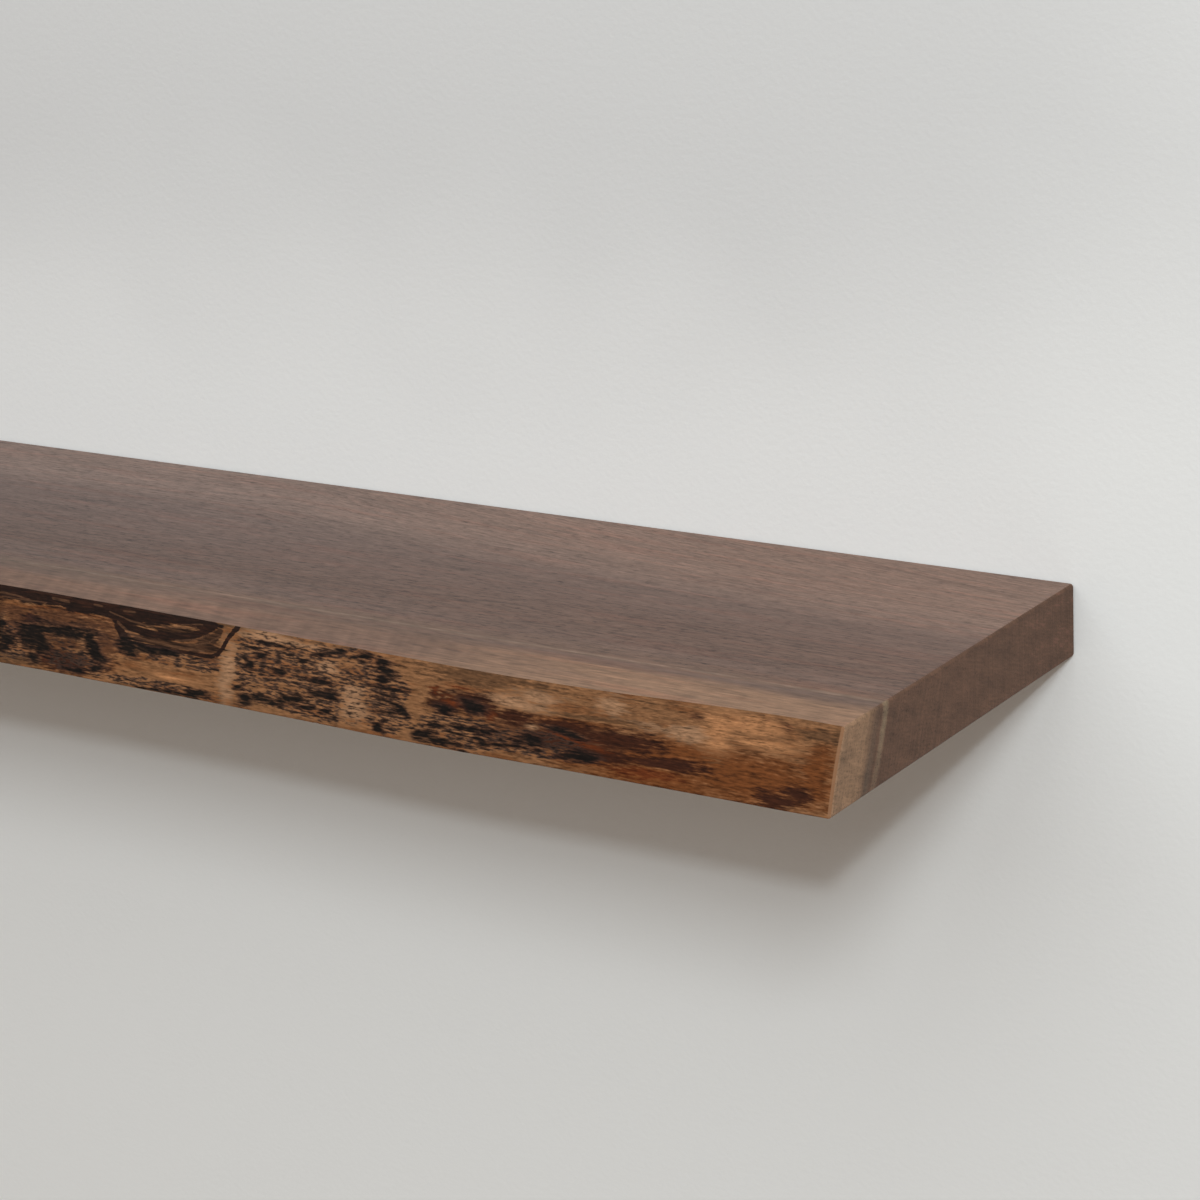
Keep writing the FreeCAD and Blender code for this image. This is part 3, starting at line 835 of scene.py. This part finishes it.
def live_edge_shape():
    """How far out the live edge lies at any x and height, as a smooth function fitted to the CAD node."""
    tree = BVHTree.FromPolygons([v.co for v in CAD_SLAB.vertices], [p.vertices for p in CAD_SLAB.polygons])
    stations = np.linspace(SLAB_LOW.x + END_INSET, SLAB_HIGH.x - END_INSET, STATIONS)
    heights = np.linspace(SLAB_LOW.z + CORNER_INSET, SLAB_HIGH.z - CORNER_INSET, HEIGHTS)
    curves = []
    for x in stations:
        reach = [tree.ray_cast(Vector((x, -1, z)), Vector((0, 1, 0)))[0].y for z in heights]
        curves.append(np.polyfit(heights, reach, 2))
    window = np.hanning(SMOOTHING + 2)[1:-1]
    window /= window.sum()
    padded = np.pad(curves, ((SMOOTHING // 2, SMOOTHING // 2), (0, 0)), mode="edge")
    curves = np.stack([np.convolve(padded[:, i], window, "valid") for i in range(3)], axis=1)

    def reach_at(x, z):
        return np.polyval([np.interp(x, stations, curves[:, i]) for i in range(3)], z)
    return reach_at


def edge_relief(wood, x, z):
    """How far the live edge's surface stands out at a point, beyond its smooth shape."""
    places = [Vector((x / along, place, z / up)) for along, up, place in (SWELL, FLUTE, FIBRE)]
    broad, flute = noise.noise(places[0]), noise.noise(places[1])
    fibre = noise.fractal(places[2], 1.0, 2.0, 2)
    return wood.swell * broad + wood.flute * flute * abs(broad + 0.4) + wood.fibre * fibre


def slab_blank(wood):
    """The board as a block, its lower front corner drawn out and its sawn and back corners rounded. Its long
    edges are cut into columns in two goes, and its front into rows."""
    front_top = min(v.co.y for v in CAD_SLAB.vertices if v.co.z > SLAB_HIGH.z - 0.1 * MM)
    slab = block("walnut_slab", (SLAB_LOW.x, front_top, SLAB_LOW.z), SLAB_HIGH)
    edit("EDIT")
    pick(slab, "verts", lambda v: v.co.y < front_top / 2 and v.co.z < 0)
    bpy.ops.transform.translate(value=(0, SLAB_LOW.y - front_top, 0))
    pick(slab, "edges", lambda e: not (spans(e, 0, 0.1) and e.verts[0].co.y < front_top / 2))
    bpy.ops.mesh.bevel(offset=wood.arris, segments=4, profile=0.5, affect="EDGES", clamp_overlap=False)
    whole = SLAB_HIGH.x - SLAB_LOW.x - 2 * wood.arris
    first_cuts = 28
    second_cuts = round(whole / (first_cuts + 1) / wood.column)
    pick(slab, "edges", lambda e: spans(e, 0, whole / 2))
    bpy.ops.mesh.subdivide(number_cuts=first_cuts)
    pick(slab, "edges", lambda e: spans(e, 0, whole / (first_cuts + 2)))
    bpy.ops.mesh.subdivide(number_cuts=second_cuts - 1)
    pick(slab, "edges", lambda e: spans(e, 2, 0.02) and all(v.co.y < front_top / 2 for v in e.verts))
    bpy.ops.mesh.subdivide(number_cuts=wood.rows - 1)
    edit("OBJECT")
    return slab, front_top


def carve_live_edge(wood, slab, front_top):
    """Moves the front of the blank onto the live edge and gives it its relief."""
    reach_at = live_edge_shape()
    lean = (SLAB_LOW.y - front_top) / (SLAB_HIGH.z - SLAB_LOW.z)
    for vertex in slab.data.vertices:
        x, y, z = vertex.co
        if y > front_top / 2:
            continue
        flat = front_top + (SLAB_HIGH.z - z) * lean
        inner_x = min(max(x, SLAB_LOW.x + END_INSET), SLAB_HIGH.x - END_INSET)
        out = reach_at(inner_x, z) - flat
        corner = min(SLAB_HIGH.z - z, z - SLAB_LOW.z)
        eased = wood.edge_arris * max(0.0, 1 - corner / wood.edge_arris) ** 2
        nick = NICK_DEPTH * max(0.0, 1 - math.hypot(x - NICK_X, z - SLAB_LOW.z) / NICK_REACH)
        vertex.co.y = y + out - edge_relief(wood, x, z) + eased + nick
    slab.data.update()


def slab_cuts(wood):
    """The tools that cut the pocket, the rods' bores and the inserts' holes."""
    low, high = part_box("wall_plate")
    gap = wood.pocket_gap
    pocket = block("pocket", (low.x - gap, low.y - wood.floor_gap, low.z - gap),
                   (high.x + gap, CLEAR, high.z + gap))
    edit("EDIT")
    pick(pocket, "edges", lambda e: spans(e, 1, 2 * MM))
    bpy.ops.mesh.bevel(offset=wood.pocket_corner, segments=6, affect="EDGES")
    edit("OBJECT")
    tools = [pocket]
    rods, low, high, radius = round_nodes("support_rod_")
    radius, bore_end = radius + wood.bore_gap, -low.y + wood.bore_end
    for rod in rods:
        tool = turned("bore", [(bore_end - BORE_LENGTH, radius), (bore_end, radius)], 48)
        place(tool, (middle(rod).x, 0, 0), INTO_ROOM)
        tools.append(tool)
    thin = round_nodes("lock_screw_")[3] + 2 * wood.insert_gap
    inserts, low, high, radius = round_nodes("lock_insert_")
    wide = radius + wood.insert_gap
    profile = [(SLAB_LOW.z - CLEAR, wide), (high.z, wide), (high.z, thin), (wood.passage_top, thin)]
    for insert in inserts:
        tool = turned("insert_hole", profile, 40)
        place(tool, (middle(insert).x, middle(insert).y, 0))
        tools.append(tool)
    combine(pocket, tools[1:], "UNION")
    return pocket


def outer_side(face):
    """Which side of the slab a face belongs to: front, end, top, bottom, back or cut, for those inside."""
    x, y, z = face.center
    normal = face.normal
    skin = 2.1 * MM
    if y < FRONT_ZONE:
        if abs(x) < SLAB_HIGH.x - 2 * MM and abs(z) < SLAB_HIGH.z - 0.01 * MM:
            return "front"
        if abs(normal.x) > STEEP:
            return "end"
        return "top" if normal.z > STEEP else "bottom" if normal.z < -STEEP else "front"
    if abs(x) > SLAB_HIGH.x - skin and abs(normal.x) > 0.5:
        return "end"
    if z > SLAB_HIGH.z - skin and normal.z > 0.5:
        return "top"
    if z < SLAB_LOW.z + skin and normal.z < -0.5:
        return "bottom"
    return "back" if y > -skin and normal.y > 0.5 else "cut"


def lay_out_map(slab, sides):
    """A texture map with room for the live edge first: each side is a band across the map."""
    bands = {"front": (0.01, 0.235), "top": (0.245, 0.625), "bottom": (0.635, 0.86), "back": (0.87, 0.915),
             "end": (0.925, 0.99), "cut": (0.925, 0.99)}
    depth, thick = -SLAB_LOW.y, SLAB_HIGH.z - SLAB_LOW.z
    layer = slab.data.uv_layers.new(name="OFBake")
    for face, side in zip(slab.data.polygons, sides):
        low, high = bands[side]
        for loop in face.loop_indices:
            x, y, z = slab.data.vertices[slab.data.loops[loop].vertex_index].co
            along = (x - SLAB_LOW.x) / (SLAB_HIGH.x - SLAB_LOW.x)
            up = (z - SLAB_LOW.z) / thick
            out = -y / depth
            if side == "end":
                along, share = out * 0.3 + (0.31 if face.normal.x < 0 else 0.0), up
            elif side == "cut":
                along, share = 0.65 + 0.35 * along, (up + out) / 2
            else:
                share = out if side in ("top", "bottom") else up
            layer.data[loop].uv = (along, low + (high - low) * share)


class SHELF_OT_slab(bpy.types.Operator):
    """Models the walnut slab with its natural edge, pocket and bores"""
    bl_idname = "shelf.slab"
    bl_label = "Walnut slab"

    def execute(self, context):
        wood = context.scene.shelf_wood
        slab, front_top = slab_blank(wood)
        carve_live_edge(wood, slab, front_top)
        combine(slab, [slab_cuts(wood)], "DIFFERENCE")
        smooth(slab, 40)
        apply(slab, "WEIGHTED_NORMAL", mode="FACE_AREA", weight=100, keep_sharp=True)
        sides = [outer_side(face) for face in slab.data.polygons]
        wears = {"front": 1, "end": 2}
        finishes = [walnut_face(wood), live_edge(wood), walnut_end(wood)]
        dress(slab, finishes, "shelf", "walnut", "live_edge_slab")
        for face, side in zip(slab.data.polygons, sides):
            face.material_index = wears.get(side, 0)
        lay_out_map(slab, sides)
        lay_out_stains(slab)
        return {"FINISHED"}


# ---------------------------------------------------------------- the bracket and the fasteners

class SHELF_OT_plate(bpy.types.Operator):
    """Gives the wall plate its mill scale"""
    bl_idname = "shelf.plate"
    bl_label = "Wall plate"

    def execute(self, context):
        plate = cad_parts["wall_plate"]
        plate.data.materials.clear()
        plate.data.materials.append(mill_scale(context.scene.shelf_metal))
        return {"FINISHED"}


class SHELF_OT_rods(bpy.types.Operator):
    """Models the bright steel rods"""
    bl_idname = "shelf.rods"
    bl_label = "Support rods"

    def execute(self, context):
        metals = context.scene.shelf_metal
        names, low, high, radius = round_nodes("support_rod_")
        chamfer, ease = metals.rod_chamfer, 0.12 * MM
        tip = -low.y
        profile = [(-high.y, radius), (tip - chamfer - ease, radius), (tip - chamfer, radius - ease / 3),
                   (tip - ease, radius - chamfer), (tip, radius - chamfer - ease)]
        rod = turned("steel_rod_1", profile, 64)
        place(rod, (middle(names[0]).x, 0, 0), INTO_ROOM)
        smooth(rod)
        finish = metal("bright_steel", metals.bright, 0.3, (1.2, 90, 1.2), 0.004, mottle=0.1)
        repeat(rod, names, "steel_rod_", finish, "bright_steel")
        return {"FINISHED"}


class SHELF_OT_welds(bpy.types.Operator):
    """Models the plug welds behind the rods, ground flush with the plate"""
    bl_idname = "shelf.welds"
    bl_label = "Plug welds"

    def execute(self, context):
        metals = context.scene.shelf_metal
        names, low, high, radius = round_nodes("rod_weld_")
        groove, unevenness, lump = 0.25 * MM, 0.03, 2.5 * MM
        profile = [(0.0, radius - 2 * groove), (groove, radius - groove), (2 * groove, radius),
                   (-low.y, radius)]
        weld = turned("plug_weld_1", profile, 56)
        for vertex in weld.data.vertices:
            x, y, depth = vertex.co
            if depth < groove / 2:
                uneven = noise.noise(Vector((x, y, 0)) / lump)
                vertex.co = Vector((x, y, depth)) * (1 + unevenness * uneven)
        place(weld, (middle(names[0]).x, 0, 0), INTO_ROOM)
        smooth(weld)
        finish = metal("ground_weld", metals.weld, 0.38, (18, 18, 0.4), 0.02, mottle=0.4)
        repeat(weld, names, "plug_weld_", finish, "weld_metal")
        return {"FINISHED"}


class SHELF_OT_wall_screws(bpy.types.Operator):
    """Models the countersunk wood screws with their threads and square recesses"""
    bl_idname = "shelf.wall_screws"
    bl_label = "Wall screws"

    def execute(self, context):
        metals = context.scene.shelf_metal
        names, low, high, head = round_nodes("wall_screw_")
        neck, crest, ease = metals.neck_radius, metals.wood_radius, 0.15 * MM
        thread_start, point_start, runout = 0.3 * MM, high.y - metals.point, 2 * MM
        profile = [(low.y, head - 2 * ease), (low.y + ease / 2, head - ease), (low.y + ease, head - ease),
                   (low.y + head - neck, neck), (0.0, neck), (thread_start, crest), (point_start, crest),
                   (high.y, 0.0)]
        screw = turned("wood_screw_1", profile, 32)
        slice_up(screw, thread_start, point_start, (14, 13))
        slice_up(screw, point_start, high.y, (17,))
        cut_thread(screw, thread_start, high.y, crest, metals.wood_depth, metals.wood_pitch, runout)
        half, bottom = metals.recess_width / 2, low.y + metals.recess_depth
        corner, slope, sunk = 0.35 * MM, 0.5 * MM, 0.4 * MM
        recess = block("recess", (-half, -half, low.y - CLEAR), (half, half, bottom - sunk))
        edit("EDIT")
        pick(recess, "edges", lambda e: spans(e, 2, 1 * MM))
        bpy.ops.mesh.bevel(offset=corner, segments=3, affect="EDGES")
        pick(recess, "faces", lambda face: face.normal.z > 0.9)
        bpy.ops.mesh.inset(thickness=slope)
        bpy.ops.transform.translate(value=(0, 0, sunk))
        edit("OBJECT")
        combine(screw, [recess], "DIFFERENCE")
        place(screw, (middle(names[0]).x, 0, 0), INTO_WALL)
        smooth(screw, 30)
        finish = metal("yellow_zinc", metals.zinc, 0.32, (1.5, 1.5, 1.5), 0.01, mottle=0.35)
        repeat(screw, names, "wood_screw_", finish, "zinc_screw")
        return {"FINISHED"}


class SHELF_OT_inserts(bpy.types.Operator):
    """Models the slotted brass inserts"""
    bl_idname = "shelf.inserts"
    bl_label = "Brass inserts"

    def execute(self, context):
        metals = context.scene.shelf_metal
        names, low, high, crest = round_nodes("lock_insert_")
        hollow, ease, mouth = metals.insert_bore, 0.2 * MM, 1.2 * MM
        rim, runout = low.z + 1.9 * MM, 0.6 * MM
        profile = [(low.z, crest - ease), (low.z + ease, crest), (rim, crest), (high.z, crest)]
        insert = turned("brass_insert_1", profile, 48)
        slice_up(insert, rim, high.z, (29,))
        cut_thread(insert, rim, high.z + ease, crest, metals.insert_depth, metals.insert_pitch, runout)
        bore = turned("bore", [(low.z - mouth / 2, hollow + mouth), (low.z + mouth / 2, hollow),
                               (high.z + mouth, hollow)], 48)
        half = metals.slot_width / 2
        slot = block("slot", (-2 * crest, -half, low.z - CLEAR), (2 * crest, half, low.z + metals.slot_depth))
        combine(insert, [bore, slot], "DIFFERENCE")
        place(insert, middle(names[0]) * Vector((1, 1, 0)))
        smooth(insert, 30)
        finish = metal("turned_brass", metals.brass, 0.3, (0.6, 0.6, 0.15), 0.008)
        repeat(insert, names, "brass_insert_", finish, "insert_brass", "shelf")
        return {"FINISHED"}


class SHELF_OT_set_screws(bpy.types.Operator):
    """Models the hexagon socket set screws"""
    bl_idname = "shelf.set_screws"
    bl_label = "Set screws"

    def execute(self, context):
        metals = context.scene.shelf_metal
        names, low, high, crest = round_nodes("lock_screw_")
        chamfer, depth, runout = metals.set_chamfer, metals.set_depth, 0.3 * MM
        profile = [(low.z, crest - depth), (low.z + depth, crest), (high.z - chamfer, crest),
                   (high.z, crest - chamfer)]
        screw = turned("set_screw_1", profile, 36)
        slice_up(screw, low.z + depth, high.z - chamfer, (9, 8))
        cut_thread(screw, low.z, high.z, crest, depth, metals.set_pitch, runout)
        wide, bottom = metals.socket_width / math.sqrt(3), low.z + metals.socket_depth
        cone = 0.6 * MM
        socket = turned("socket", [(low.z - depth, wide), (bottom - cone, wide), (bottom, 0.0)], 6)
        mouth = turned("mouth", [(low.z - depth, wide + 1.6 * depth),
                                 (low.z + 0.6 * depth, wide - 0.4 * depth)], 36)
        combine(screw, [socket, mouth], "DIFFERENCE")
        place(screw, middle(names[0]) * Vector((1, 1, 0)))
        smooth(screw, 30)
        finish = metal("black_oxide", metals.oxide, 0.45, (1, 1, 1), 0.01, mottle=0.4)
        repeat(screw, names, "set_screw_", finish, "black_oxide_steel", "set_screw_")
        return {"FINISHED"}


# ---------------------------------------------------------------- the stage

TOUCHING = 3 * MM           # the wall lets through rays that start this near it, behind the shelf
CLOUD = 60.0                # how far the border of the painted shade wanders, in millimetres
HIGH_FROM, HIGH_TO = 70.0, 260.0           # heights over the shelf between which the painted shade darkens the wall
RIGHT_FROM, RIGHT_TO = 950.0, 500.0        # and places along it between which the painted shade stops
SHELF_MIDDLE = (0.3, -0.1, 0)              # where the broad lamps are aimed


def painted_wall(stage):
    """Matt paint, darkened high up and away from the right by painted shade. From behind, and from the
    shelf's back, the wall isn't there.
    """
    f = Finish("painted_wall")
    height = f.y + stage.wall_middle / MM
    cloud = (f.grain((260, 260, 1), detail=2.0) - 0.5) * CLOUD
    # painted shade: the wall's colour turns darker higher up, except towards the right, where less light
    # falls
    high = f.ramp(height + cloud, HIGH_FROM, HIGH_TO) * f.ramp(f.x + cloud, RIGHT_FROM, RIGHT_TO)
    roller = f.grain((3.5, 3.5, 3.5))
    paint = f.node("BsdfDiffuse", inputs={"Color": f.mix(high, stage.wall, stage.wall_painted_shade),
                                          "Normal": f.relief(roller, stage.wall_texture / MM)})
    behind = f.node("NewGeometry", output="Backfacing")
    touching = f.math("LESS_THAN", f.node("LightPath", output="Ray Length"), TOUCHING)
    for middle_place, reach in ((f.x, SLAB_HIGH.x), (height, SLAB_HIGH.z)):
        within = f.math("LESS_THAN", f.math("ABSOLUTE", middle_place), (reach - TOUCHING) / MM)
        touching = touching * within
    f.finished(f.node("MixShader", inputs={0: f.math("MAXIMUM", behind, touching), 1: paint,
                                           2: f.node("BsdfTransparent")}))
    return f.material


def pale_floor(stage):
    """The plain floor, well below."""
    f = Finish("pale_floor")
    f.finished(f.node("BsdfDiffuse", inputs={"Color": (*stage.floor, 1)}))
    return f.material


def lamp(name, size, distance, azimuth, elevation, power, shade, target):
    """A square soft lamp that shines at the shelf. Its azimuth runs from the room's side towards +X."""
    light = bpy.data.lights.new(name, "AREA")
    light.shape, light.size, light.energy, light.color = "SQUARE", size, power, shade
    holder = bpy.data.objects.new(name, light)
    out = Vector((math.sin(azimuth) * math.cos(elevation), -math.cos(azimuth) * math.cos(elevation),
                  math.sin(elevation)))
    holder.location = Vector(target) + out * distance
    holder.rotation_euler = out.to_track_quat("Z", "Y").to_euler()
    holder.visible_camera = False
    bpy.context.scene.collection.objects.link(holder)


def room_world(stage):
    """The world: even light from all round, and a pale backdrop where it is seen or mirrored."""
    world = bpy.data.worlds.new("room")
    nodes = Nodes(world)
    seen = nodes.node("LightPath", output="Is Camera Ray")
    for kind in ("Is Glossy Ray", "Is Transmission Ray"):
        seen = nodes.math("MAXIMUM", seen, nodes.node("LightPath", output=kind))
    sky = [stage.sky * tint for tint in stage.sky_shade]
    backdrop = [stage.backdrop * tint for tint in stage.backdrop_shade]
    background = nodes.node("Background", inputs={"Color": nodes.mix(seen, sky, backdrop)})
    nodes.node("OutputWorld", inputs={"Surface": background})
    return world


def shelf_camera(stage):
    """The camera, which looks down at the shelf from the right."""
    camera = bpy.data.objects.new("camera", bpy.data.cameras.new("camera"))
    bpy.context.scene.collection.objects.link(camera)
    camera.data.lens, camera.data.sensor_width = stage.focal, stage.sensor
    camera.matrix_world = (Matrix.Translation(stage.camera_place)
                           @ Matrix.Rotation(stage.camera_turn, 4, "Z")
                           @ Matrix.Rotation(math.radians(90) - stage.camera_dip, 4, "X")
                           @ Matrix.Rotation(stage.camera_roll, 4, "Z"))
    return camera


class SHELF_OT_stage(bpy.types.Operator):
    """Sets up the wall, the floor, the lamps, the world and the camera"""
    bl_idname = "shelf.stage"
    bl_label = "Stage"

    def execute(self, context):
        scene, stage = context.scene, context.scene.shelf_stage
        wall = start("wall", bpy.ops.mesh.primitive_plane_add, size=12,
                     location=(0, stage.wall_gap, stage.wall_middle))
        wall.rotation_euler = INTO_ROOM
        wall.data.materials.append(painted_wall(stage))
        floor = start("floor", bpy.ops.mesh.primitive_plane_add, size=14, location=(0, 0, -stage.floor_drop))
        floor.data.materials.append(pale_floor(stage))

        corner, cool = (SLAB_HIGH.x, SLAB_LOW.y, SLAB_LOW.z), stage.lamp_shade
        turn = math.radians
        for name, size, distance, azimuth, elevation, power, shade, target in (
            ("main_lamp", 1.17, 6.0, stage.lamp_azimuth, stage.lamp_height, stage.lamp_power, cool, corner),
            ("small_lamp", 0.2, 6.0, turn(31), turn(28.3), stage.small_power, cool, corner),
            ("broad_lamp", 4.2, 4.0, turn(-10), turn(50.6), stage.broad_power, cool, SHELF_MIDDLE),
            ("back_lamp", 1.6, 2.5, turn(160), turn(35), stage.back_power, stage.back_shade, SHELF_MIDDLE),
        ):
            lamp(name, size, distance, azimuth, elevation, power, shade, target)
        scene.world = room_world(stage)
        scene.camera = shelf_camera(stage)
        scene.view_settings.view_transform = "Standard"
        return {"FINISHED"}


# ---------------------------------------------------------------- the panel and the run

OPERATORS = (SHELF_OT_slab, SHELF_OT_plate, SHELF_OT_rods, SHELF_OT_welds, SHELF_OT_wall_screws,
             SHELF_OT_inserts, SHELF_OT_set_screws, SHELF_OT_stage)
GROUPS = {"shelf_wood": ShelfWood, "shelf_metal": ShelfMetal, "shelf_stage": ShelfStage}


class SHELF_PT_panel(bpy.types.Panel):
    """Lists the shelf's pieces and their sizes"""
    bl_idname = "SHELF_PT_panel"
    bl_label = "Live-edge wall shelf"
    bl_space_type = "VIEW_3D"
    bl_region_type = "UI"
    bl_category = "Shelf"

    def draw(self, context):
        for operator in OPERATORS:
            self.layout.operator(operator.bl_idname)
        for name, group in GROUPS.items():
            settings = getattr(context.scene, name)
            for setting in group.__annotations__:
                self.layout.prop(settings, setting)


def register():
    """Registers the settings, the operators and the panel."""
    for kind in (*GROUPS.values(), *OPERATORS, SHELF_PT_panel):
        bpy.utils.register_class(kind)
    for name, group in GROUPS.items():
        setattr(bpy.types.Scene, name, PointerProperty(type=group))


def unregister():
    """Takes them away again."""
    for name in GROUPS:
        delattr(bpy.types.Scene, name)
    for kind in reversed((*GROUPS.values(), *OPERATORS, SHELF_PT_panel)):
        bpy.utils.unregister_class(kind)


def main():
    """Registers the settings, operators and panel, and builds everything in order."""
    register()
    for operator in OPERATORS:
        group, name = operator.bl_idname.split(".")
        getattr(getattr(bpy.ops, group), name)()


if __name__ == "__main__":
    main()
